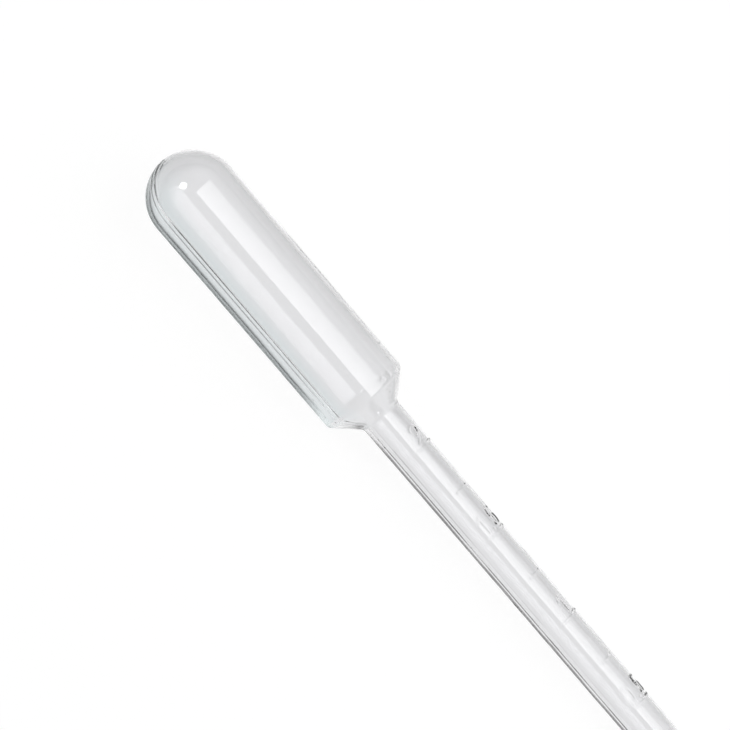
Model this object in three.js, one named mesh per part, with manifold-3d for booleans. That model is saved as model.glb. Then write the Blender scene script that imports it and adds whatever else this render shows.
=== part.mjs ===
// A graduated transfer pipette: one blow-moulded piece of low-density polyethylene.
//
// The part is a hollow bulb with a round crown, a conical shoulder, a straight stem with a
// scale of raised lines, and a slim drawn nozzle with a square-cut open tip. Its mould has
// two halves. They leave a fine ridge all round it where they meet, and one of them presses
// the scale into the stem and two cavity pips into the bulb.
//
// Sizes are in millimetres and angles in degrees. The solid is first made upright on its
// own axis, +Y, with the tip's cut face at zero, and is then laid down with +Z up.
import * as THREE from "three";
import { mergeVertices } from "three/addons/utils/BufferGeometryUtils.js";
import Module from "manifold-3d";

// ---- Driving sizes -------------------------------------------------------------------

const overallLength = 155; // from the cut tip to the crown
const bulbDiameter = 15;
const bulbLength = 48; // from the crown to the edge of the shoulder
const shoulderAngle = 46; // between the shoulder's cone and the axis
const stemDiameter = 6.9;
const taperLength = 8; // where the stem is drawn down to the nozzle
const nozzleLength = 27;
const nozzleDiameter = 4.2; // at the nozzle's thick end
const tipDiameter = 3.2; // at the cut face

const bulbWall = 0.7;
const shoulderWall = 0.6;
const stemWall = 0.45;
const taperWall = 0.45;
const nozzleWall = 0.5;

const shoulderRound = 0.5; // radius outside, at the shoulder's edge
const neckRound = 0.5; // outside, in the neck's hollow
const taperRound = 4; // at both ends of the taper, outside and in the bore
const boreShoulderRound = 1; // inside the shoulder's edge
const boreNeckRound = 1.1; // inside the neck

const ridgeHeight = 0.12; // how far the parting ridge stands proud
const ridgeCrest = 0.2; // width of the ridge's crest
const ridgeFlank = 0.35; // width of each of its slopes

const volumeStep = 0.25; // millilitres between two lines
const longLineStep = 0.5; // millilitres between two long lines
const fullScale = 2; // millilitres at the highest line
const lineHeight = 0.12;
const lineWidth = 0.35;
const longLineArc = 84; // degrees of the stem's girth
const shortLineArc = 44;

const pipCount = 2;
const pipDiameter = 0.8;
const pipHeight = 0.12;
const pipSpacing = 1.5; // from one pip's centre to the next, round the bulb
const pipSetback = 1.1; // from the shoulder's edge up to the pips' centres

const scaleTurn = 44; // how far the scale is turned from straight up, towards +Y
const sides = 32; // flats round the axis
const arcStep = 9; // degrees of turn between two points of a rounded outline
const trimAllowance = 1; // what is moulded below the tip and cut off square

const radians = THREE.MathUtils.degToRad;

// ---- Outlines ------------------------------------------------------------------------

const tipHeight = 0;
const nozzleHeight = tipHeight + nozzleLength;
const stemFootHeight = nozzleHeight + taperLength;
const shoulderHeight = overallLength - bulbLength;
const shoulderRise = (bulbDiameter - stemDiameter) / 2 / Math.tan(radians(shoulderAngle));
const neckHeight = shoulderHeight - shoulderRise;
const crownCentre = overallLength - bulbDiameter / 2;

// The corners from the tip up to where the crown's hemisphere begins. Each carries the wall
// of the stretch that starts there, and the radii of the corner outside and in the bore.
const outerCorners = [
  { at: [tipDiameter / 2, tipHeight], wall: nozzleWall, round: 0, bore: 0 },
  { at: [nozzleDiameter / 2, nozzleHeight], wall: taperWall, round: taperRound, bore: taperRound },
  { at: [stemDiameter / 2, stemFootHeight], wall: stemWall, round: taperRound, bore: taperRound },
  { at: [stemDiameter / 2, neckHeight], wall: shoulderWall, round: neckRound, bore: boreNeckRound },
  {
    at: [bulbDiameter / 2, shoulderHeight],
    wall: bulbWall,
    round: shoulderRound,
    bore: boreShoulderRound,
  },
  { at: [bulbDiameter / 2, crownCentre], wall: 0, round: 0, bore: 0 },
].map((corner) => ({ ...corner, at: new THREE.Vector2(...corner.at) }));

// The point where two lines meet, each given by a point on it and its direction.
function crossing(pointA, directionA, pointB, directionB) {
  const between = pointB.clone().sub(pointA);
  const along = between.cross(directionB) / directionA.cross(directionB);
  return pointA.clone().addScaledVector(directionA, along);
}

// The same corners moved in by the wall of each stretch, and drawn on past the tip so that
// the cavity runs out through it.
function cavityCorners() {
  const stretches = outerCorners.slice(1).map((end, index) => {
    const start = outerCorners[index];
    const direction = end.at.clone().sub(start.at).normalize();
    const inward = new THREE.Vector2(-direction.y, direction.x);
    return { direction, through: start.at.clone().addScaledVector(inward, start.wall) };
  });
  const first = stretches[0];
  const last = stretches.at(-1);
  const level = new THREE.Vector2(1, 0);
  const underTip = new THREE.Vector2(0, tipHeight - trimAllowance);
  const crownBase = new THREE.Vector2(0, crownCentre);
  const corners = [{ at: crossing(first.through, first.direction, underTip, level), round: 0 }];
  for (let index = 1; index < stretches.length; index++) {
    const before = stretches[index - 1];
    const after = stretches[index];
    corners.push({
      at: crossing(before.through, before.direction, after.through, after.direction),
      round: outerCorners[index].bore,
    });
  }
  corners.push({ at: crossing(last.through, last.direction, crownBase, level), round: 0 });
  return corners;
}

// The outline through some corners, with a true arc of each corner's radius.
function roundedOutline(corners) {
  const outline = [];
  corners.forEach(({ at, round }, index) => {
    if (round === 0) {
      outline.push(at.clone());
      return;
    }
    const from = at.clone().sub(corners[index - 1].at).normalize();
    const to = corners[index + 1].at.clone().sub(at).normalize();
    const side = Math.sign(from.cross(to));
    const turn = Math.abs(Math.asin(from.cross(to)));
    const start = at.clone().addScaledVector(from, -round * Math.tan(turn / 2));
    const sideways = new THREE.Vector2(-from.y, from.x).multiplyScalar(side * round);
    const centre = start.clone().add(sideways);
    const steps = Math.max(2, Math.ceil(turn / radians(arcStep)));
    for (let step = 0; step <= steps; step++) {
      outline.push(start.clone().rotateAround(centre, (side * turn * step) / steps));
    }
  });
  return outline;
}

// A quarter circle from the bulb's side to the axis, which closes the crown.
function crownArc(radius) {
  const steps = Math.round(90 / arcStep);
  return Array.from({ length: steps }, (_, index) => {
    const angle = radians((90 * (index + 1)) / steps);
    const across = index + 1 === steps ? 0 : radius * Math.cos(angle);
    return new THREE.Vector2(across, crownCentre + radius * Math.sin(angle));
  });
}

const outerOutline = [...roundedOutline(outerCorners), ...crownArc(bulbDiameter / 2)];
const cavityOutline = [
  ...roundedOutline(cavityCorners()),
  ...crownArc(bulbDiameter / 2 - bulbWall),
];

// ---- Solids --------------------------------------------------------------------------

const manifold = await Module();
manifold.setup();

// A closed three.js geometry as a solid that can be joined and cut.
function solidFrom(geometry) {
  const bare = new THREE.BufferGeometry();
  bare.setAttribute("position", geometry.getAttribute("position"));
  bare.setIndex(geometry.index);
  const merged = mergeVertices(bare, 1e-4);
  const corners = merged.index.array;
  const triangles = [];
  for (let first = 0; first < corners.length; first += 3) {
    const [a, b, c] = corners.slice(first, first + 3);
    if (a !== b && b !== c && c !== a) triangles.push(a, b, c);
  }
  const mesh = new manifold.Mesh({
    numProp: 3,
    vertProperties: merged.attributes.position.array,
    triVerts: new Uint32Array(triangles),
  });
  return new manifold.Manifold(mesh);
}

function geometryFrom(solid) {
  const mesh = solid.getMesh();
  const geometry = new THREE.BufferGeometry();
  geometry.setAttribute("position", new THREE.BufferAttribute(mesh.vertProperties, 3));
  geometry.setIndex(new THREE.BufferAttribute(mesh.triVerts, 1));
  return geometry;
}

// An outline turned round the axis. One of the flats faces straight down in the end.
function turned(outline) {
  const faceDown = Math.PI + Math.PI / sides;
  const foot = new THREE.Vector2(0, outline[0].y);
  return solidFrom(new THREE.LatheGeometry([foot, ...outline], sides, faceDown));
}

// What the mould's halves enclose, with the trimmings below the tip still on it.
function mouldedBlank() {
  const [tip, ...rest] = outerOutline;
  const trimmings = new THREE.Vector2(tip.x, tip.y - trimAllowance);
  return turned([trimmings, tip, ...rest]);
}

// The parting ridge: a plate in the plane where the mould's halves meet. Its faces are
// flush with the moulded surface, and slopes lead up from them to a crest between them.
function partingRidge() {
  const mirrored = outerOutline.slice(0, -1).map((point) => new THREE.Vector2(-point.x, point.y));
  const shape = new THREE.Shape([...outerOutline, ...mirrored.reverse()]);
  const plate = new THREE.ExtrudeGeometry(shape, {
    depth: ridgeCrest,
    bevelThickness: ridgeFlank,
    bevelSize: ridgeHeight,
    bevelSegments: 1,
    curveSegments: 1,
  });
  plate.translate(0, 0, -ridgeCrest / 2);
  return solidFrom(plate.rotateY(radians(scaleTurn)));
}

// A raised mark, modelled where it faces +X, moved to its height and turned to the middle
// of the mould half that carries the scale.
function onScaleSide(mark, height, turn = 0) {
  mark.rotateY(radians(scaleTurn - 90 + turn));
  return solidFrom(mark.translate(0, height, 0));
}

// One line of the scale: a sector of a ring, rooted in the middle of the stem's wall.
function scaleLine(height, arc) {
  const half = radians(arc / 2);
  const root = (stemDiameter - stemWall) / 2;
  const face = stemDiameter / 2 + lineHeight;
  const sector = new THREE.Shape();
  sector.absarc(0, 0, face, -half, half, false);
  sector.absarc(0, 0, root, half, -half, true);
  const line = new THREE.ExtrudeGeometry(sector, {
    depth: lineWidth,
    bevelEnabled: false,
    curveSegments: Math.round(arc / arcStep),
  });
  line.translate(0, 0, -lineWidth / 2);
  return onScaleSide(line.rotateX(-Math.PI / 2), height);
}

// The height at which the bore holds a volume in cubic millimetres, counted from the tip.
function heightHolding(volume) {
  let missing = volume;
  for (let index = 1; index < cavityOutline.length; index++) {
    const low = cavityOutline[index - 1];
    const high = cavityOutline[index];
    const start = Math.max(low.y, tipHeight);
    const rise = high.y - start;
    const held = (Math.PI * rise * (low.x ** 2 + low.x * high.x + high.x ** 2)) / 3;
    if (held >= missing) return start + (rise * missing) / held;
    missing -= held;
  }
  return Infinity;
}

// The whole scale, true to the bore. Only the straight stem carries lines.
function scaleLines() {
  const cubicMillimetres = 1000; // in a millilitre
  const lowest = stemFootHeight + lineWidth;
  const highest = neckHeight - neckRound - lineWidth;
  const lines = [];
  for (let step = 1; step * volumeStep <= fullScale; step++) {
    const volume = step * volumeStep;
    const height = heightHolding(volume * cubicMillimetres);
    const arc = Number.isInteger(volume / longLineStep) ? longLineArc : shortLineArc;
    if (height > lowest && height < highest) lines.push(scaleLine(height, arc));
  }
  return lines;
}

// The row of pips that tells which of the mould's cavities the piece came from.
function cavityPips() {
  const depth = bulbWall / 2 + pipHeight;
  const spacing = THREE.MathUtils.radToDeg(pipSpacing / (bulbDiameter / 2));
  return Array.from({ length: pipCount }, (_, index) => {
    const pip = new THREE.CylinderGeometry(pipDiameter / 2, pipDiameter / 2, depth, 12);
    pip.rotateZ(-Math.PI / 2);
    pip.translate(bulbDiameter / 2 + pipHeight - depth / 2, 0, 0);
    const turn = spacing * (index - (pipCount - 1) / 2);
    return onScaleSide(pip, shoulderHeight + pipSetback, turn);
  });
}

// What the knife takes off to leave the tip square.
function trimmings() {
  const block = new THREE.CylinderGeometry(tipDiameter, tipDiameter, 2 * trimAllowance, 12);
  return solidFrom(block.translate(0, tipHeight - trimAllowance, 0));
}

function pipetteSolid() {
  const raised = [partingRidge(), ...scaleLines(), ...cavityPips()];
  const outside = raised.reduce((body, piece) => body.add(piece), mouldedBlank());
  return outside.subtract(turned(cavityOutline)).subtract(trimmings());
}

// ---- The part ------------------------------------------------------------------------

// Lying down, the pipette balances between its shoulder and its tip, and rests on the line
// that touches the bulb's outline above the neck and the stem's below it. This is that
// line's slope, taken along the flats that face down.
function restingLean() {
  const above = outerOutline.filter((point) => point.y > neckHeight);
  const below = outerOutline.filter((point) => point.y <= neckHeight);
  const slopes = below.map((low) => {
    return Math.max(...above.map((high) => (high.x - low.x) / (high.y - low.y)));
  });
  return Math.atan(Math.min(...slopes) * Math.cos(Math.PI / sides));
}

const naturalPolyethylene = new THREE.MeshStandardMaterial({
  name: "natural_polyethylene",
  color: "#e6eaea",
  roughness: 0.2,
  metalness: 0,
  transparent: true,
  opacity: 0.5,
});

const pipette = new THREE.Mesh(geometryFrom(pipetteSolid()), naturalPolyethylene);
pipette.name = "pipette";

// The tip points along +X, and the crown along -X and a little up.
const laidDown = new THREE.Group();
laidDown.rotation.z = Math.PI / 2;
laidDown.add(pipette);
const leaning = new THREE.Group();
leaning.rotation.y = restingLean();
leaning.add(laidDown);

// The origin is on the surface that the pipette lies on, under the middle of its box.
leaning.updateMatrixWorld(true);
const box = new THREE.Box3().setFromObject(leaning, true);
const middle = box.getCenter(new THREE.Vector3());
leaning.position.set(-middle.x, -middle.y, -box.min.z);

const part = new THREE.Group();
part.name = "transfer_pipette";
part.add(leaning);

export default part;
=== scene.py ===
import math

import bpy
from mathutils import Matrix, Vector, noise


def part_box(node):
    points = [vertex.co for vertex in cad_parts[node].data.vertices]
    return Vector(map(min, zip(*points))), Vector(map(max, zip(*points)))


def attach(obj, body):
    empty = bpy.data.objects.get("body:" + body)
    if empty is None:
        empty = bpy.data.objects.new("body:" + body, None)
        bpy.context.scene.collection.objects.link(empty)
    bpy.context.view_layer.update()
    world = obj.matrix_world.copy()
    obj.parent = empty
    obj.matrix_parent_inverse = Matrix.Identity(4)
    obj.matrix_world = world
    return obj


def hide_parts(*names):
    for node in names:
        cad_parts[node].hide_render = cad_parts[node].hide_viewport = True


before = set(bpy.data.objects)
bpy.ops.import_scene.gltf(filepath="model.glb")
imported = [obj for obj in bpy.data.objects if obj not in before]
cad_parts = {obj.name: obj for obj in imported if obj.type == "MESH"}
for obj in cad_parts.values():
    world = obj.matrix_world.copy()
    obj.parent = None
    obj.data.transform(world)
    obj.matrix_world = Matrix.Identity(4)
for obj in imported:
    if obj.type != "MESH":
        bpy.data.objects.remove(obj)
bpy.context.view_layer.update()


# ---- The pipette ---------------------------------------------------------------------
# The whole product is this one hollow piece of low-density polyethylene. A soft tube of
# the melt was clamped between two mould halves, blown out into the bulb and the stem, and
# cut off square at the tip. Sizes run along the axis from the cut tip, like its heights.

MM = 0.001
LENGTH = 155 * MM
BULB_DIAMETER = 15 * MM
BULB_LENGTH = 48 * MM
SHOULDER_ANGLE = math.radians(46)
STEM_DIAMETER = 6.9 * MM
TAPER_LENGTH = 8 * MM
NOZZLE_LENGTH = 27 * MM
NOZZLE_DIAMETER = 4.2 * MM
TIP_DIAMETER = 3.2 * MM
BULB_WALL = 0.7 * MM
SHOULDER_WALL = 0.6 * MM
STEM_WALL = 0.45 * MM
NOZZLE_WALL = 0.5 * MM

stem_foot = NOZZLE_LENGTH + TAPER_LENGTH
shoulder = LENGTH - BULB_LENGTH
neck = shoulder - (BULB_DIAMETER - STEM_DIAMETER) / 2 / math.tan(SHOULDER_ANGLE)
crown_centre = LENGTH - BULB_DIAMETER / 2

# Corners from the tip to the crown: height, radius, the wall above them, and how far they
# are rounded outside and in the bore.
CORNERS = (
    (0, TIP_DIAMETER / 2, NOZZLE_WALL, 0, 0),
    (NOZZLE_LENGTH, NOZZLE_DIAMETER / 2, STEM_WALL, 4 * MM, 4 * MM),
    (stem_foot, STEM_DIAMETER / 2, STEM_WALL, 4 * MM, 4 * MM),
    (neck, STEM_DIAMETER / 2, SHOULDER_WALL, 1 * MM, 2 * MM),
    (shoulder, BULB_DIAMETER / 2, BULB_WALL, 1 * MM, 1 * MM),
    (crown_centre, BULB_DIAMETER / 2, 0, 0, 0),
)
ARC_STEP = math.radians(4)


def crossing(point_a, along_a, point_b, along_b):
    """Where two lines of the outline's plane meet."""
    share = (point_b - point_a).cross(along_b) / along_a.cross(along_b)
    return point_a + along_a * share


def outer_corners():
    return [(Vector((height, radius)), rounding) for height, radius, _, rounding, _ in CORNERS]


def inner_corners():
    """The same corners, moved in by each stretch's own wall."""
    stretches = []
    for (height, radius, wall, *_), (end_height, end_radius, *_) in zip(CORNERS, CORNERS[1:]):
        along = Vector((end_height - height, end_radius - radius)).normalized()
        inward = Vector((along.y, -along.x))
        stretches.append((Vector((height, radius)) + inward * wall, along))
    across = Vector((0, 1))
    first, last = stretches[0], stretches[-1]
    corners = [(crossing(*first, Vector((0, 0)), across), 0)]
    for before, after, (*_, rounding) in zip(stretches, stretches[1:], CORNERS[1:]):
        corners.append((crossing(*before, *after), rounding))
    corners.append((crossing(*last, Vector((crown_centre, 0)), across), 0))
    return corners


def rounded(corners):
    """The outline through the corners, with a true arc at each rounded one."""
    outline = []
    for index, (corner, rounding) in enumerate(corners):
        if rounding == 0:
            outline.append(corner)
            continue
        before = (corner - corners[index - 1][0]).normalized()
        after = (corners[index + 1][0] - corner).normalized()
        turn = math.asin(before.cross(after))
        start = corner - before * rounding * math.tan(abs(turn) / 2)
        centre = start + Vector((-before.y, before.x)) * math.copysign(rounding, turn)
        steps = max(2, math.ceil(abs(turn) / ARC_STEP))
        for step in range(steps + 1):
            outline.append(centre + Matrix.Rotation(turn * step / steps, 2) @ (start - centre))
    return outline


def with_crown(outline, radius):
    """The outline closed by the quarter circle of the crown."""
    steps = round(math.radians(90) / ARC_STEP)
    for step in range(1, steps + 1):
        angle = math.radians(90) * step / steps
        across = 0 if step == steps else radius * math.cos(angle)
        outline.append(Vector((crown_centre + radius * math.sin(angle), across)))
    return outline


outer_outline = with_crown(rounded(outer_corners()), BULB_DIAMETER / 2)
inner_outline = with_crown(rounded(inner_corners()), BULB_DIAMETER / 2 - BULB_WALL)

# The piece lies on the edge of its shoulder and on its tip, so its axis leans a little.
# The frame's solid has flats, and the smooth skin runs through their middles.
SKIN_CLEARANCE = 0.012 * MM
low_corner, high_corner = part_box("pipette")
roundness = (high_corner[1] - low_corner[1]) / BULB_DIAMETER
bulb_points = [point for point in outer_outline if point.x > neck]
stem_points = [point for point in outer_outline if point.x <= neck]
slopes = [
    max((bulb.y - stem.y) / (bulb.x - stem.x) for bulb in bulb_points) for stem in stem_points
]
lean = math.atan(min(slopes) * roundness)
tip_centre = Vector((
    high_corner[0] - TIP_DIAMETER / 2 * math.sin(lean),
    0,
    TIP_DIAMETER / 2 * roundness * math.cos(lean),
))
laid_down = Matrix.Translation(tip_centre) @ Matrix.Rotation(lean, 4, "Y")


def on_axis(height, radius=0.0, angle=0.0):
    """A place on the lying pipette. The angle runs from straight up towards +Y."""
    upright = Vector((-height, radius * math.sin(angle), radius * math.cos(angle)))
    return laid_down @ upright


# The scale is moulded into the middle of one mould half, a quarter turn from both ridges.
# Its marks are strokes in the plane of the unrolled stem, as (across, height) points.
SCALE_ANGLE = math.radians(44)
FULL_SCALE_ML = 2.0
VOLUME_STEP_ML = 0.25
LONG_LINE_STEP_ML = 0.5
LONG_LINE_ARC = math.radians(84)
SHORT_LINE_ARC = math.radians(44)
NUMERAL_HEIGHT = 3.0 * MM
NUMERAL_GAP = 0.8 * MM
LETTER_SPACE = 0.3
STROKE_WIDTH = 0.38 * MM
MARK_HEIGHT = 0.11 * MM
MARK_FLANK = 0.15 * MM
NUMERAL_ARC_STEP = 20
CUBIC_METRES_PER_ML = 1e-6


def arc(centre_x, centre_y, radius_x, radius_y, start, end):
    """Points on a part of an ellipse, in the unit square of a numeral. Angles are degrees."""
    steps = max(4, round(abs(end - start) / NUMERAL_ARC_STEP))
    angles = [math.radians(start + (end - start) * step / steps) for step in range(steps + 1)]
    return [(centre_x + radius_x * math.cos(a), centre_y + radius_y * math.sin(a)) for a in angles]


# Each glyph is its width and its strokes, with the height of a numeral as 1.
GLYPHS = {
    "0": (0.56, [arc(0.28, 0.5, 0.28, 0.5, 0, 360)]),
    "1": (0.26, [[(0, 0.78), (0.24, 1), (0.24, 0)]]),
    "2": (0.56, [arc(0.28, 0.71, 0.28, 0.29, 165, -35) + [(0, 0), (0.58, 0)]]),
    "5": (0.56, [[(0.52, 1), (0.08, 1), (0.03, 0.55)] + arc(0.26, 0.34, 0.3, 0.34, 130, -145)]),
    ".": (0.02, [[(0, 0), (0.01, 0)]]),
}


def numeral_strokes(text, base):
    """The strokes of one number, centred on the scale, standing on the height given."""
    space = LETTER_SPACE * NUMERAL_HEIGHT
    widths = [GLYPHS[glyph][0] * NUMERAL_HEIGHT for glyph in text]
    left = -(sum(widths) + space * (len(text) - 1)) / 2
    strokes = []
    for glyph, width in zip(text, widths):
        for stroke in GLYPHS[glyph][1]:
            strokes.append(
                [(left + x * NUMERAL_HEIGHT, base + y * NUMERAL_HEIGHT) for x, y in stroke]
            )
        left += width + space
    return strokes


def height_holding(volume):
    """The height at which the bore holds a volume, counted from the tip."""
    for low, high in zip(inner_outline, inner_outline[1:]):
        start = max(low.x, 0)
        held = math.pi * (high.x - start) * (low.y**2 + low.y * high.y + high.y**2) / 3
        if held >= volume:
            return start + (high.x - start) * volume / held
        volume -= held


scale_strokes = []
for step in range(1, round(FULL_SCALE_ML / VOLUME_STEP_ML) + 1):
    millilitres = step * VOLUME_STEP_ML
    height = height_holding(millilitres * CUBIC_METRES_PER_ML)
    if height < stem_foot + STROKE_WIDTH:
        continue
    is_long = millilitres % LONG_LINE_STEP_ML == 0
    half_line = (LONG_LINE_ARC if is_long else SHORT_LINE_ARC) / 2 * STEM_DIAMETER / 2
    scale_strokes.append([(-half_line, height), (half_line, height)])
    if is_long:
        scale_strokes += numeral_strokes(f"{millilitres:g}", height + NUMERAL_GAP)

# Two pips by the shoulder tell which of the mould's cavities the piece came from.
PIP_DIAMETER = 0.9 * MM
PIP_SPACING = 1.65 * MM
PIP_SETBACK = 0.8 * MM
PIP_HEIGHT = 0.16 * MM
PIP_FLANK = 0.22 * MM
PIPS_ASIDE = -0.95 * MM
pips = [(PIPS_ASIDE + side * PIP_SPACING / 2, shoulder + PIP_SETBACK) for side in (-1, 1)]

# The ridge that the mould's parting line leaves runs right round the piece, in one plane.
# It is two fine beads, one from the edge of each mould half. They are lower over the crown
# and on the stem, and lowest on the shoulder, and on the piece's far side they hardly show.
# Each pair of shares below is the two beads' heights, as shares of the ridge's.
RIDGE_HEIGHT = 0.158 * MM
BEAD_SPACING = 0.95 * MM
BEAD_WIDTH = 0.45 * MM
FAINT_RIDGE_SHARE = 0.08
RIDGE_FADE = 1.2
BULB_BEAD_SHARES = (1.0, 0.4)
SHOULDER_BEAD_SHARES = (0.12, 0.04)
STEM_BEAD_SHARES = (0.36, 0.42)
CROWN_BEAD_SHARES = (0.65, 0.25)
BEAD_CHANGE = 2 * MM
ridge_angle = SCALE_ANGLE - math.radians(90)


def smooth_step(share):
    share = min(max(share, 0), 1)
    return share * share * (3 - 2 * share)


def distance_to_stroke(point, stroke):
    nearest = math.inf
    for start, end in zip(stroke, stroke[1:]):
        start, end = Vector(start), Vector(end)
        along = end - start
        share = min(max((point - start).dot(along) / along.length_squared, 0), 1)
        nearest = min(nearest, (point - start - along * share).length)
    return nearest


def marks_near(height):
    reach = STROKE_WIDTH / 2 + MARK_FLANK
    return [
        stroke
        for stroke in scale_strokes
        if min(y for _, y in stroke) - reach < height < max(y for _, y in stroke) + reach
    ]


def relief(height, radius, angle, strokes):
    """How far the moulded marks stand proud of the plain outline at a place."""
    off_plane = abs(radius * math.sin(angle - ridge_angle))
    towards_clear_ridge = radius * math.cos(angle - ridge_angle) / (BULB_DIAMETER / 2)
    clear = smooth_step(0.5 + RIDGE_FADE * towards_clear_ridge)
    share = FAINT_RIDGE_SHARE + (1 - FAINT_RIDGE_SHARE) * clear
    off_bead = abs(off_plane - BEAD_SPACING / 2)
    bead = 1 if math.sin(2 * (angle - ridge_angle)) < 0 else 0
    bead_share = STEM_BEAD_SHARES[bead]
    for corner, shares in (
        (neck, SHOULDER_BEAD_SHARES),
        (shoulder, BULB_BEAD_SHARES),
        (crown_centre, CROWN_BEAD_SHARES),
    ):
        past_corner = smooth_step((height - corner) / BEAD_CHANGE + 0.5)
        bead_share += (shares[bead] - bead_share) * past_corner
    proud = RIDGE_HEIGHT * share * bead_share * smooth_step(1 - off_bead / (BEAD_WIDTH / 2))
    turn = math.remainder(angle - SCALE_ANGLE, math.tau)
    place = Vector((turn * radius, height))
    if abs(turn) < LONG_LINE_ARC:
        for stroke in strokes:
            inside = STROKE_WIDTH / 2 + MARK_FLANK / 2 - distance_to_stroke(place, stroke)
            proud = max(proud, MARK_HEIGHT * smooth_step(inside / MARK_FLANK))
        for pip in pips:
            inside = PIP_DIAMETER / 2 + PIP_FLANK / 2 - (place - Vector(pip)).length
            proud = max(proud, PIP_HEIGHT * smooth_step(inside / PIP_FLANK))
    return proud


# The mould shapes only the outside. Inside, the wall is as uneven as the melt was, in slow
# swells along the bulb and shorter ripples down the stem.
BULB_SWELL = 0.05 * MM
BULB_SWELL_LENGTH = 14 * MM
SWELLS_AROUND = 0.9
STEM_RIPPLE = 0.03 * MM
STEM_RIPPLE_LENGTH = 3 * MM
RIPPLES_AROUND = 1.6
NOISE_SHIFT = 7


def unevenness(height, angle):
    around = Vector((0, math.sin(angle), math.cos(angle)))
    along_bulb = Vector((height / BULB_SWELL_LENGTH, 0, 0))
    along_stem = Vector((height / STEM_RIPPLE_LENGTH, NOISE_SHIFT, 0))
    swell = noise.noise(around * SWELLS_AROUND + along_bulb)
    ripple = noise.noise(around * RIPPLES_AROUND + along_stem)
    in_bulb = smooth_step((height - neck) / (shoulder - neck))
    return in_bulb * BULB_SWELL * swell + (1 - in_bulb) * STEM_RIPPLE * ripple


# The skin is a grid of rings and columns, closest where a mark needs it. The columns' steps
# and reaches are degrees.
RING_STEP = 1.2 * MM
MARK_RING_STEP = 0.1 * MM
INNER_RING_STEP = 1.1 * MM
RIDGE_COLUMN_STEP = 0.6
RIDGE_REACH = 6
MARK_COLUMN_STEP = 1.6
BY_RIDGE_REACH = 13
SCALE_MARGIN = 4
BY_SCALE_REACH = math.degrees(LONG_LINE_ARC) / 2 + SCALE_MARGIN
COLUMN_STEP = 4.0
COLUMN_SLACK = 0.01
SHARP_EDGE = math.radians(40)


def column_angles():
    """Angles right round the piece, closer together over the ridges and the scale."""
    angles = []
    angle = math.degrees(ridge_angle)
    end = angle + 360
    while angle < end - COLUMN_SLACK:
        angles.append(math.radians(angle))
        just_past = angle + COLUMN_SLACK
        off_ridge = abs(math.remainder(just_past - math.degrees(ridge_angle), 180))
        off_scale = abs(math.remainder(just_past - math.degrees(SCALE_ANGLE), 360))
        if off_ridge < RIDGE_REACH:
            angle += RIDGE_COLUMN_STEP
        elif off_ridge < BY_RIDGE_REACH or off_scale < BY_SCALE_REACH:
            angle += MARK_COLUMN_STEP
        else:
            angle += COLUMN_STEP
    return angles


def with_rings(outline, heights):
    """The outline with a point added at each height that crosses one of its long runs."""
    filled = []
    for low, high in zip(outline, outline[1:]):
        filled.append(low)
        if high.x - low.x > RING_STEP:
            inside = [height for height in heights if low.x < height < high.x]
            filled += [low.lerp(high, (height - low.x) / (high.x - low.x)) for height in inside]
    filled.append(outline[-1])
    return filled


def evenly(start, end, step):
    count = max(1, round((end - start) / step))
    return [start + (end - start) * index / count for index in range(1, count)]


mark_rings = set()
for stroke in scale_strokes + [[pip] for pip in pips]:
    reach = (PIP_DIAMETER if len(stroke) == 1 else STROKE_WIDTH) / 2 + MARK_FLANK
    first = math.floor((min(y for _, y in stroke) - reach) / MARK_RING_STEP)
    last = math.ceil((max(y for _, y in stroke) + reach) / MARK_RING_STEP)
    mark_rings |= {ring * MARK_RING_STEP for ring in range(first, last + 1)}
plain_rings = [
    height
    for height in evenly(0, crown_centre, RING_STEP)
    if all(abs(height - ring) > RING_STEP / 2 for ring in mark_rings)
]
outer_rings = with_rings(outer_outline, sorted(mark_rings | set(plain_rings)))
inner_rings = with_rings(inner_outline, evenly(0, crown_centre, INNER_RING_STEP))
inner_rings[0] = inner_rings[0].lerp(
    inner_rings[1], -inner_rings[0].x / (inner_rings[1].x - inner_rings[0].x)
)
columns = column_angles()


def ring_normals(rings):
    """The outward direction of the outline at each ring, as height and radius."""
    normals = []
    for before, after in zip([rings[0], *rings], [*rings[1:], rings[-1]]):
        along = (after - before).normalized()
        normals.append(Vector((-along.y, along.x)))
    normals[-1] = Vector((1, 0))
    return normals


def skin(rings, offset_at):
    """The points of a wall's face, ring by ring, and one more for the pole of the crown."""
    points = []
    for ring, normal in zip(rings[:-1], ring_normals(rings)):
        strokes = marks_near(ring.x)
        for angle in columns:
            place = ring + normal * offset_at(ring, angle, strokes)
            points.append(on_axis(place.x, place.y * roundness, angle))
    pole = rings[-1]
    points.append(on_axis(pole.x + offset_at(pole, 0, []), 0))
    return points


def outer_offset(ring, angle, strokes):
    return relief(ring.x, ring.y, angle, strokes) - SKIN_CLEARANCE


def inner_offset(ring, angle, _):
    return unevenness(ring.x, angle)


def skin_faces(first, ring_count):
    """Quads between the rings of one face, and triangles round its pole."""
    count = len(columns)
    faces = []
    for ring in range(ring_count - 1):
        for column in range(count):
            a = first + ring * count + column
            b = first + ring * count + (column + 1) % count
            faces.append((a, b, b + count, a + count))
    pole = first + ring_count * count
    last_ring = pole - count
    for column in range(count):
        faces.append((last_ring + column, last_ring + (column + 1) % count, pole))
    return faces


outer_points = skin(outer_rings, outer_offset)
inner_points = skin(inner_rings, inner_offset)
inner_first = len(outer_points)
outer_faces = skin_faces(0, len(outer_rings) - 1)
inner_faces = [face[::-1] for face in skin_faces(inner_first, len(inner_rings) - 1)]
cut_faces = []
for column in range(len(columns)):
    following = (column + 1) % len(columns)
    cut_faces.append((following, column, inner_first + column, inner_first + following))

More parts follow.
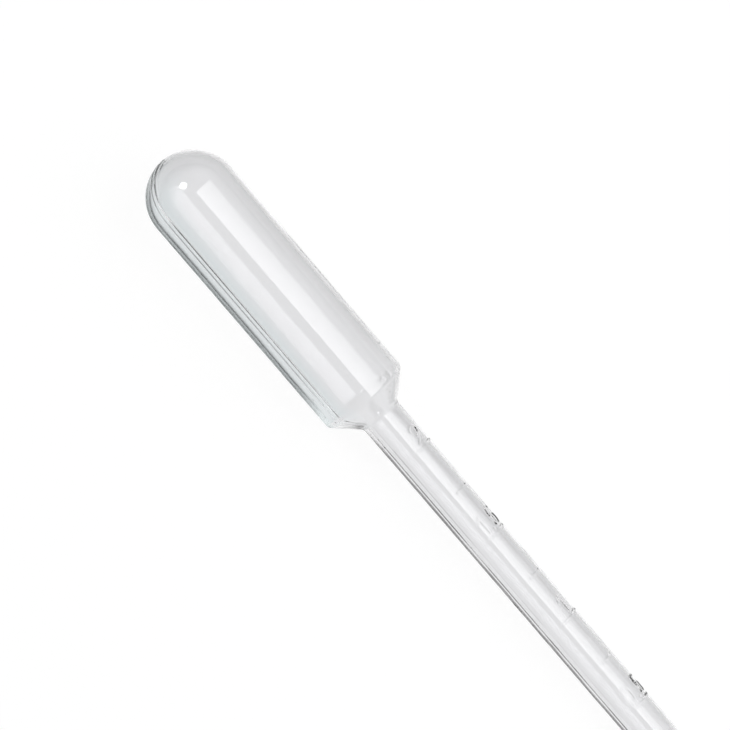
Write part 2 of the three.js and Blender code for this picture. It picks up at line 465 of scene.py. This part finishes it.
mesh = bpy.data.meshes.new("moulded_pipette")
mesh.from_pydata(outer_points + inner_points, [], outer_faces + inner_faces + cut_faces)
mesh.validate()
mesh.shade_smooth()
mesh.set_sharp_from_angle(angle=SHARP_EDGE)
pipette = bpy.data.objects.new("moulded_pipette", mesh)
bpy.context.collection.objects.link(pipette)

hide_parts("pipette")
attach(pipette, "root")

# Blow-moulded natural low-density polyethylene: milky clear, and cool in colour. The mould
# leaves the outside glossy but never flat, so its reflections have soft and wavy edges.
# Drawn down soft from the die, it also has fine lines along it. The pinch of the shoulder
# leaves small shallow specks there, which catch the light where a reflection ends.
PLASTIC_COLOUR = "#F4F4F5"
PLASTIC_IOR = 1.51
PLASTIC_TRANSMISSION = 0.98
PLASTIC_ROUGHNESS = 0.05
SWELL_SIZE = 6 * MM
SWELL_DEPTH = 0.04 * MM
DRAW_LINE_SIZE = 0.5 * MM
DRAW_LINE_LENGTH = 14 * MM
DRAW_LINE_DEPTH = 0.002 * MM
SPECK_SPACING = 0.8 * MM
SPECK_REACH = 0.2 * MM
SPECK_DEPTH = 0.02 * MM
SPECK_SHARE = 0.25
SPECK_MIDDLE = on_axis(neck).x
SPECK_HALF_LENGTH = 7 * MM
SPECK_FADE = 5 * MM


def linear(colour):
    """The linear values of an sRGB hex colour, with full alpha."""
    channels = [int(colour[start:start + 2], 16) / 255 for start in (1, 3, 5)]
    return [c / 12.92 if c <= 0.04045 else ((c + 0.055) / 1.055) ** 2.4 for c in channels] + [1]


def add_node(tree, kind, settings=None, links=None):
    """A node with its settings. Names of inputs come as text, and its properties as words."""
    node = tree.nodes.new(kind)
    for name, value in (settings or {}).items():
        if isinstance(name, int) or name in node.inputs:
            node.inputs[name].default_value = value
        else:
            setattr(node, name, value)
    for name, source in (links or {}).items():
        tree.links.new(source, node.inputs[name])
    return node


def new_tree(owner):
    owner.use_nodes = True
    owner.node_tree.nodes.clear()
    return owner.node_tree


polyethylene = bpy.data.materials.new("blow_moulded_low_density_polyethylene")
tree = new_tree(polyethylene)
place = add_node(tree, "ShaderNodeTexCoord")
swell = add_node(
    tree,
    "ShaderNodeTexNoise",
    {"Scale": 1 / SWELL_SIZE, "Detail": 1.0},
    {"Vector": place.outputs["Object"]},
)
swell_bump = add_node(
    tree,
    "ShaderNodeBump",
    {"Strength": 1.0, "Distance": SWELL_DEPTH},
    {"Height": swell.outputs["Fac"]},
)
drawn = add_node(
    tree,
    "ShaderNodeMapping",
    {"Scale": (DRAW_LINE_SIZE / DRAW_LINE_LENGTH, 1, 1)},
    {"Vector": place.outputs["Object"]},
)
draw_lines = add_node(
    tree,
    "ShaderNodeTexNoise",
    {"Scale": 1 / DRAW_LINE_SIZE, "Detail": 2.0},
    {"Vector": drawn.outputs["Vector"]},
)
draw_bump = add_node(
    tree,
    "ShaderNodeBump",
    {"Strength": 1.0, "Distance": DRAW_LINE_DEPTH},
    {"Height": draw_lines.outputs["Fac"], "Normal": swell_bump.outputs["Normal"]},
)
specks = add_node(
    tree,
    "ShaderNodeTexVoronoi",
    {"Scale": 1 / SPECK_SPACING},
    {"Vector": place.outputs["Object"]},
)
speck = add_node(
    tree,
    "ShaderNodeMapRange",
    {
        "interpolation_type": "SMOOTHSTEP",
        "From Max": SPECK_REACH / SPECK_SPACING,
        "To Min": 1.0,
        "To Max": 0.0,
    },
    {"Value": specks.outputs["Distance"]},
)
along_axis = add_node(tree, "ShaderNodeSeparateXYZ", links={"Vector": place.outputs["Object"]})
off_middle = add_node(
    tree, "ShaderNodeMath", {"operation": "SUBTRACT", 1: SPECK_MIDDLE}, {0: along_axis.outputs["X"]}
)
how_far = add_node(tree, "ShaderNodeMath", {"operation": "ABSOLUTE"}, {0: off_middle.outputs[0]})
by_neck = add_node(
    tree,
    "ShaderNodeMapRange",
    {
        "From Min": SPECK_HALF_LENGTH,
        "From Max": SPECK_HALF_LENGTH + SPECK_FADE,
        "To Min": SPECK_SHARE,
        "To Max": 0.0,
    },
    {"Value": how_far.outputs[0]},
)
chance = add_node(tree, "ShaderNodeSeparateColor", links={"Color": specks.outputs["Color"]})
chosen = add_node(
    tree,
    "ShaderNodeMath",
    {"operation": "LESS_THAN"},
    {0: chance.outputs["Red"], 1: by_neck.outputs[0]},
)
speck_height = add_node(
    tree, "ShaderNodeMath", {"operation": "MULTIPLY"}, {0: speck.outputs[0], 1: chosen.outputs[0]}
)
speck_bump = add_node(
    tree,
    "ShaderNodeBump",
    {"Strength": 1.0, "Distance": SPECK_DEPTH},
    {"Height": speck_height.outputs[0], "Normal": draw_bump.outputs["Normal"]},
)
moulded = add_node(
    tree,
    "ShaderNodeBsdfPrincipled",
    {
        "Base Color": linear(PLASTIC_COLOUR),
        "IOR": PLASTIC_IOR,
        "Roughness": PLASTIC_ROUGHNESS,
        "Transmission Weight": PLASTIC_TRANSMISSION,
    },
    {"Normal": speck_bump.outputs["Normal"]},
)
add_node(tree, "ShaderNodeOutputMaterial", links={"Surface": moulded.outputs["BSDF"]})
mesh.materials.append(polyethylene)


# ---- The floor -------------------------------------------------------------------------
# A sweep of matt white paper that the piece lies on. It looks as white as it is, by an even
# glow and a small share of the light that falls on it, which keeps the piece's faint shadow.
# The clear wall and its gloss show the same white paper.

PAPER_COLOUR = "#FAFAFA"
PAPER_REACH = 3.0
PAPER_GLOW = 0.943
SHADOW_SHARE = 0.09
PAPER_THROUGH_PLASTIC = 0.97

paper_mesh = bpy.data.meshes.new("paper_floor")
paper_corners = [
    (x * PAPER_REACH, y * PAPER_REACH, 0) for x, y in ((-1, -1), (1, -1), (1, 1), (-1, 1))
]
paper_mesh.from_pydata(paper_corners, [], [(0, 1, 2, 3)])
floor = bpy.data.objects.new("paper_floor", paper_mesh)
bpy.context.collection.objects.link(floor)

paper = bpy.data.materials.new("matt_white_paper")
tree = new_tree(paper)
ray = add_node(tree, "ShaderNodeLightPath")
lit_paper = add_node(tree, "ShaderNodeBsdfDiffuse", {"Color": linear(PAPER_COLOUR)})
glowing_paper = add_node(tree, "ShaderNodeEmission", {"Strength": PAPER_GLOW})
faint_colour = [SHADOW_SHARE * channel for channel in linear(PAPER_COLOUR)]
faint_paper = add_node(tree, "ShaderNodeBsdfDiffuse", {"Color": faint_colour})
seen_paper = add_node(tree, "ShaderNodeAddShader")
tree.links.new(glowing_paper.outputs[0], seen_paper.inputs[0])
tree.links.new(faint_paper.outputs[0], seen_paper.inputs[1])
through = add_node(tree, "ShaderNodeEmission", {"Strength": PAPER_THROUGH_PLASTIC})
clear_or_gloss = add_node(
    tree,
    "ShaderNodeMath",
    {"operation": "MAXIMUM"},
    {0: ray.outputs["Is Transmission Ray"], 1: ray.outputs["Is Glossy Ray"]},
)
not_camera = add_node(tree, "ShaderNodeMixShader", links={"Fac": clear_or_gloss.outputs[0]})
tree.links.new(lit_paper.outputs[0], not_camera.inputs[1])
tree.links.new(through.outputs[0], not_camera.inputs[2])
surface = add_node(tree, "ShaderNodeMixShader", links={"Fac": ray.outputs["Is Camera Ray"]})
tree.links.new(not_camera.outputs[0], surface.inputs[1])
tree.links.new(seen_paper.outputs[0], surface.inputs[2])
add_node(tree, "ShaderNodeOutputMaterial", links={"Surface": surface.outputs[0]})
paper_mesh.materials.append(paper)

# What lies close beside a clear tube draws its edges. These sheets paint that as glowing tones.
# Their dark rows are painted shadow, where the piece's own shadow on the paper would darken what
# the wall shows. A few far rows are painted light, brighter than the paper. Only the plastic shows
# these sheets, one on each side. Each row is how far it keeps from the outline in millimetres, its
# tone through the bore and its tone through the wall's rim, beside the stem and then the bulb. The
# distances hold where the axis is 8 mm up, and grow and shrink with its height. Round the shoulder
# both sheets pale to white, and a row's paling starts as far down the stem as the slanted shoulder
# mirrors that row. Beside the bulb the near sheet's painted shade is a little cool. Round the crown
# it runs on until its tones have passed into the far sheet's.
SHEET_LIFT = 0.1 * MM
SHEET_STEP = 3 * MM
ROWS_FOR_AXIS_AT = 8 * MM
WHITE_TONE = 0.97
NEAR_ROWS = (
    ((-1.7, 0.97, 0.97), (-4.4, 0.97, 0.97)),
    ((-0.9, 0.97, 0.97), (-2.2, 0.93, 0.97)),
    ((-0.2, 0.97, 0.97), (-0.3, 0.9, 0.97)),
    ((0.6, 0.97, 0.97), (1.4, 0.88, 0.97)),
    ((1.2, 0.95, 0.97), (2.2, 0.93, 0.3)),
    ((1.7, 0.8, 0.3), (2.5, 0.9, 0.05)),
    ((2.4, 0.35, 0.2), (3.1, 0.25, 0.05)),
    ((4.0, 0.3, 0.2), (3.9, 0.2, 0.05)),
    ((6.0, 0.6, 0.3), (4.7, 0.4, 0.65)),
    ((7.5, 0.8, 0.35), (6.6, 0.7, 0.75)),
    ((9.2, 0.97, 0.8), (7.6, 0.8, 0.1)),
    ((10.4, 0.97, 0.97), (12.5, 0.9, 0.1)),
    ((11.5, 0.97, 0.97), (19, 0.97, 0.97)),
)
FAR_ROWS = (
    ((-1.5, 0.97, 0.97), (-2.6, 0.97, 0.97)),
    ((-0.8, 0.82, 0.97), (-1.4, 0.9, 0.97)),
    ((-0.5, 0.75, 0.97), (-0.9, 0.83, 0.97)),
    ((0.0, 0.74, 1.3), (-0.3, 0.77, 1.1)),
    ((0.8, 0.74, 1.3), (0.8, 0.67, 1.1)),
    ((2.0, 0.7, 1.15), (1.8, 0.6, 1.12)),
    ((3.0, 0.66, 1.05), (3.0, 0.56, 1.12)),
    ((4.2, 0.66, 0.95), (4.5, 0.58, 0.83)),
    ((8.0, 0.7, 0.72), (9.0, 0.6, 0.7)),
    ((11, 0.97, 0.97), (12, 0.97, 0.97)),
)
NEAR_TINT = (0.94, 1.0, 1.0)
PALE_FROM = neck - 0.7 * MM
PALE_TO = shoulder + 7 * MM
SHOULDER_MIRRORS_FROM = 2.0
SHOULDER_SLANT = 1.0
NEAR_PALEST = 1.0
FAR_PALEST = 0.35
CROWN_STEP = math.radians(5)
NEAR_TURN = math.radians(125)
FAR_TURN = math.radians(55)
NEAR_TONES_TO = math.radians(15)
WALL_FACES_OF_A_RIM = 2.5


def plan_of_a_side(turn):
    """The outline seen from above, and round its crown by a turn: each point, its way out."""
    plan = []
    for point in with_rings(outer_outline, evenly(0, crown_centre, SHEET_STEP)):
        if point.x <= crown_centre:
            plan.append((point, Vector((0, 1)), 0))
    for step in range(1, round(turn / CROWN_STEP) + 1):
        angle = step * CROWN_STEP
        outward = Vector((math.sin(angle), math.cos(angle)))
        plan.append((Vector((crown_centre, 0)) + outward * BULB_DIAMETER / 2, outward, angle))
    return plan


def far_tones(off):
    """The far side's tones beside the bulb, at any distance from it."""
    rows = [Vector(by_bulb) for _, by_bulb in FAR_ROWS]
    for before, after in zip(rows, rows[1:]):
        if off < after.x:
            return before.lerp(after, max((off - before.x) / (after.x - before.x), 0))
    return rows[-1]


# The sheets' points, each with its painted shade or light as a tone through the bore and through
# the rim.
sheet_points = []
bore_painted_tones = []
rim_painted_tones = []
sheet_faces = []
for side, rows, palest, turn in (
    (-1, NEAR_ROWS, NEAR_PALEST, NEAR_TURN),
    (1, FAR_ROWS, FAR_PALEST, FAR_TURN),
):
    plan = plan_of_a_side(turn)
    for row, (by_stem, by_bulb) in enumerate(rows):
        first = len(sheet_points)
        for point, outward, angle in plan:
            share = smooth_step((point.x - neck) / (shoulder - neck))
            off, *tones = Vector(by_stem).lerp(Vector(by_bulb), share)
            place = point + outward * off * MM * on_axis(point.x).z / ROWS_FOR_AXIS_AT
            sheet_points.append((on_axis(place.x).x, side * place.y, SHEET_LIFT))
            slanted = point.x + SHOULDER_SLANT * max(off - SHOULDER_MIRRORS_FROM, 0) * MM
            rising = smooth_step((slanted - PALE_FROM) / (neck - PALE_FROM))
            falling = smooth_step((PALE_TO - point.x) / (PALE_TO - shoulder))
            paled = palest * rising * falling
            turned = smooth_step((angle - NEAR_TONES_TO) / (NEAR_TURN - NEAR_TONES_TO))
            tint = Vector((1, 1, 1))
            if side < 0 and row > 0:
                tint = tint.lerp(Vector(NEAR_TINT), share * (1 - turned))
            for kept, tone, far_tone in zip((bore_painted_tones, rim_painted_tones), tones, far_tones(off)[1:]):
                tone += (WHITE_TONE - tone) * paled
                tone += (far_tone - tone) * turned
                kept.append([*(tint * tone), 1])
        if row:
            before = first - len(plan)
            for i in range(len(plan) - 1):
                sheet_faces.append((before + i, before + i + 1, first + i + 1, first + i))
sheet_mesh = bpy.data.meshes.new("painted_shade_and_light_sheets")
sheet_mesh.from_pydata(sheet_points, [], sheet_faces)
for name, tones in (("bore_painted_tone", bore_painted_tones), ("rim_painted_tone", rim_painted_tones)):
    attribute = sheet_mesh.attributes.new(name, "FLOAT_COLOR", "POINT")
    attribute.data.foreach_set("color", [channel for tone in tones for channel in tone])
sheets = bpy.data.objects.new("painted_shade_and_light_sheets", sheet_mesh)
bpy.context.collection.objects.link(sheets)

# The sheets glow with their painted shade and light, but only to rays through or off the plastic.
# Every other ray passes through them.
painted_shade_and_light = bpy.data.materials.new("painted_shade_and_light")
tree = new_tree(painted_shade_and_light)
ray = add_node(tree, "ShaderNodeLightPath")
clear_or_gloss = add_node(
    tree,
    "ShaderNodeMath",
    {"operation": "MAXIMUM"},
    {0: ray.outputs["Is Transmission Ray"], 1: ray.outputs["Is Glossy Ray"]},
)
absent = add_node(tree, "ShaderNodeBsdfTransparent")
crossed_bore = add_node(
    tree,
    "ShaderNodeMath",
    {"operation": "GREATER_THAN", 1: WALL_FACES_OF_A_RIM},
    {0: ray.outputs["Transmission Depth"]},
)
bore_painted_tone = add_node(tree, "ShaderNodeAttribute", {"attribute_name": "bore_painted_tone"})
rim_painted_tone = add_node(tree, "ShaderNodeAttribute", {"attribute_name": "rim_painted_tone"})
tone = add_node(
    tree,
    "ShaderNodeMixRGB",
    links={
        "Fac": crossed_bore.outputs[0],
        "Color1": rim_painted_tone.outputs["Color"],
        "Color2": bore_painted_tone.outputs["Color"],
    },
)
painted_glow = add_node(tree, "ShaderNodeEmission", links={"Color": tone.outputs["Color"]})
shown = add_node(tree, "ShaderNodeMixShader", links={"Fac": clear_or_gloss.outputs[0]})
tree.links.new(absent.outputs[0], shown.inputs[1])
tree.links.new(painted_glow.outputs[0], shown.inputs[2])
add_node(tree, "ShaderNodeOutputMaterial", links={"Surface": shown.outputs[0]})
sheet_mesh.materials.append(painted_shade_and_light)


# ---- The light -------------------------------------------------------------------------
# One long softbox stands over the far side of the piece, and draws the long highlights on
# the bulb and the stem. It is even up to a quarter of its width and falls off past that. A
# small round lamp beyond the crown draws the bright spot there. A pale room fills the rest.

SOFTBOX_DISTANCE = 0.6
SOFTBOX_FROM = math.radians(13)
SOFTBOX_TO = math.radians(59)
SOFTBOX_LENGTH = 0.9
SOFTBOX_PAST_SHOULDER = 0.1
SOFTBOX_RADIANCE = 2.7
SOFTBOX_EVEN_TO = 0.25
SOFTBOX_EDGE = 0.5
LAMP_DISTANCE = 0.6
LAMP_TURN = math.radians(37)
LAMP_DIAMETER = 0.18
LAMP_RADIANCE = 9
ROOM_FILL = 0.2
ROOM_GLOSS = 0.2
ROOM_THROUGH = 0.95
ROOM_SEEN = 0.96

middle = (SOFTBOX_FROM + SOFTBOX_TO) / 2
towards_box = Vector((0, math.sin(middle), math.cos(middle)))
width = 2 * SOFTBOX_DISTANCE * math.tan((SOFTBOX_TO - SOFTBOX_FROM) / 2)
softbox_light = bpy.data.lights.new("softbox", "AREA")
softbox_light.shape = "RECTANGLE"
softbox_light.size = SOFTBOX_LENGTH
softbox_light.size_y = width
softbox_light.energy = SOFTBOX_RADIANCE * math.pi * SOFTBOX_LENGTH * width
tree = new_tree(softbox_light)
face = add_node(tree, "ShaderNodeNewGeometry")
across_face = add_node(tree, "ShaderNodeSeparateXYZ", links={"Vector": face.outputs["Parametric"]})
fall_off = add_node(
    tree,
    "ShaderNodeMapRange",
    {"From Min": SOFTBOX_EVEN_TO, "From Max": 1.0, "To Min": 1.0, "To Max": SOFTBOX_EDGE},
    {"Value": across_face.outputs["Y"]},
)
shining = add_node(tree, "ShaderNodeEmission", links={"Strength": fall_off.outputs[0]})
add_node(tree, "ShaderNodeOutputLight", links={"Surface": shining.outputs[0]})
softbox = bpy.data.objects.new("softbox", softbox_light)
softbox.location = on_axis(shoulder) + towards_box * SOFTBOX_DISTANCE
softbox.location.x += SOFTBOX_LENGTH / 2 - SOFTBOX_PAST_SHOULDER
softbox.rotation_euler = (-middle, 0, 0)
bpy.context.collection.objects.link(softbox)

lamp_light = bpy.data.lights.new("round_lamp", "AREA")
lamp_light.shape = "DISK"
lamp_light.size = LAMP_DIAMETER
lamp_light.energy = LAMP_RADIANCE * math.pi * math.pi * (LAMP_DIAMETER / 2) ** 2
lamp = bpy.data.objects.new("round_lamp", lamp_light)
towards_lamp = Vector((-math.sin(LAMP_TURN), 0, math.cos(LAMP_TURN)))
lamp.location = on_axis(crown_centre) + towards_lamp * LAMP_DISTANCE
lamp.rotation_euler = (0, -LAMP_TURN, 0)
bpy.context.collection.objects.link(lamp)

room = bpy.data.worlds.new("pale_room")
bpy.context.scene.world = room
tree = new_tree(room)
ray = add_node(tree, "ShaderNodeLightPath")
gloss = add_node(
    tree,
    "ShaderNodeMapRange",
    {"To Min": ROOM_FILL, "To Max": ROOM_GLOSS},
    {"Value": ray.outputs["Is Glossy Ray"]},
)
through = add_node(
    tree,
    "ShaderNodeMath",
    {"operation": "MULTIPLY", 1: ROOM_THROUGH},
    {0: ray.outputs["Is Transmission Ray"]},
)
level = add_node(
    tree,
    "ShaderNodeMath",
    {"operation": "MAXIMUM"},
    {0: gloss.outputs[0], 1: through.outputs[0]},
)
seen = add_node(
    tree,
    "ShaderNodeMath",
    {"operation": "MULTIPLY", 1: ROOM_SEEN},
    {0: ray.outputs["Is Camera Ray"]},
)
seen_level = add_node(
    tree,
    "ShaderNodeMath",
    {"operation": "MAXIMUM"},
    {0: level.outputs[0], 1: seen.outputs[0]},
)
glow = add_node(
    tree,
    "ShaderNodeBackground",
    {"Color": (1, 1, 1, 1)},
    {"Strength": seen_level.outputs[0]},
)
add_node(tree, "ShaderNodeOutputWorld", links={"Surface": glow.outputs[0]})


# ---- The camera ------------------------------------------------------------------------
# It looks almost straight down, a little from the bulb's end, with the stem running down
# to the right and out of the view.

CAMERA_DISTANCE = 0.46
CAMERA_LENS = 146.1
CAMERA_LEAN = math.radians(2.9)
AXIS_IN_VIEW = math.radians(49.45)
AIM_RIGHT = 0.12 * MM
AIM_UP = 4.87 * MM

along = Vector((math.cos(CAMERA_LEAN), 0, math.sin(CAMERA_LEAN)))
across = Vector((0, 1, 0))
right = along * math.cos(AXIS_IN_VIEW) + across * math.sin(AXIS_IN_VIEW)
up = across * math.cos(AXIS_IN_VIEW) - along * math.sin(AXIS_IN_VIEW)
back = right.cross(up)
camera_data = bpy.data.cameras.new("camera")
camera_data.lens = CAMERA_LENS
camera_data.sensor_width = 36
camera_data.clip_start = 0.01
camera = bpy.data.objects.new("camera", camera_data)
camera.location = on_axis(shoulder) + right * AIM_RIGHT + up * AIM_UP + back * CAMERA_DISTANCE
camera.rotation_euler = Matrix((right, up, back)).transposed().to_euler()
bpy.context.collection.objects.link(camera)
bpy.context.scene.camera = camera
bpy.context.scene.view_settings.view_transform = "Standard"
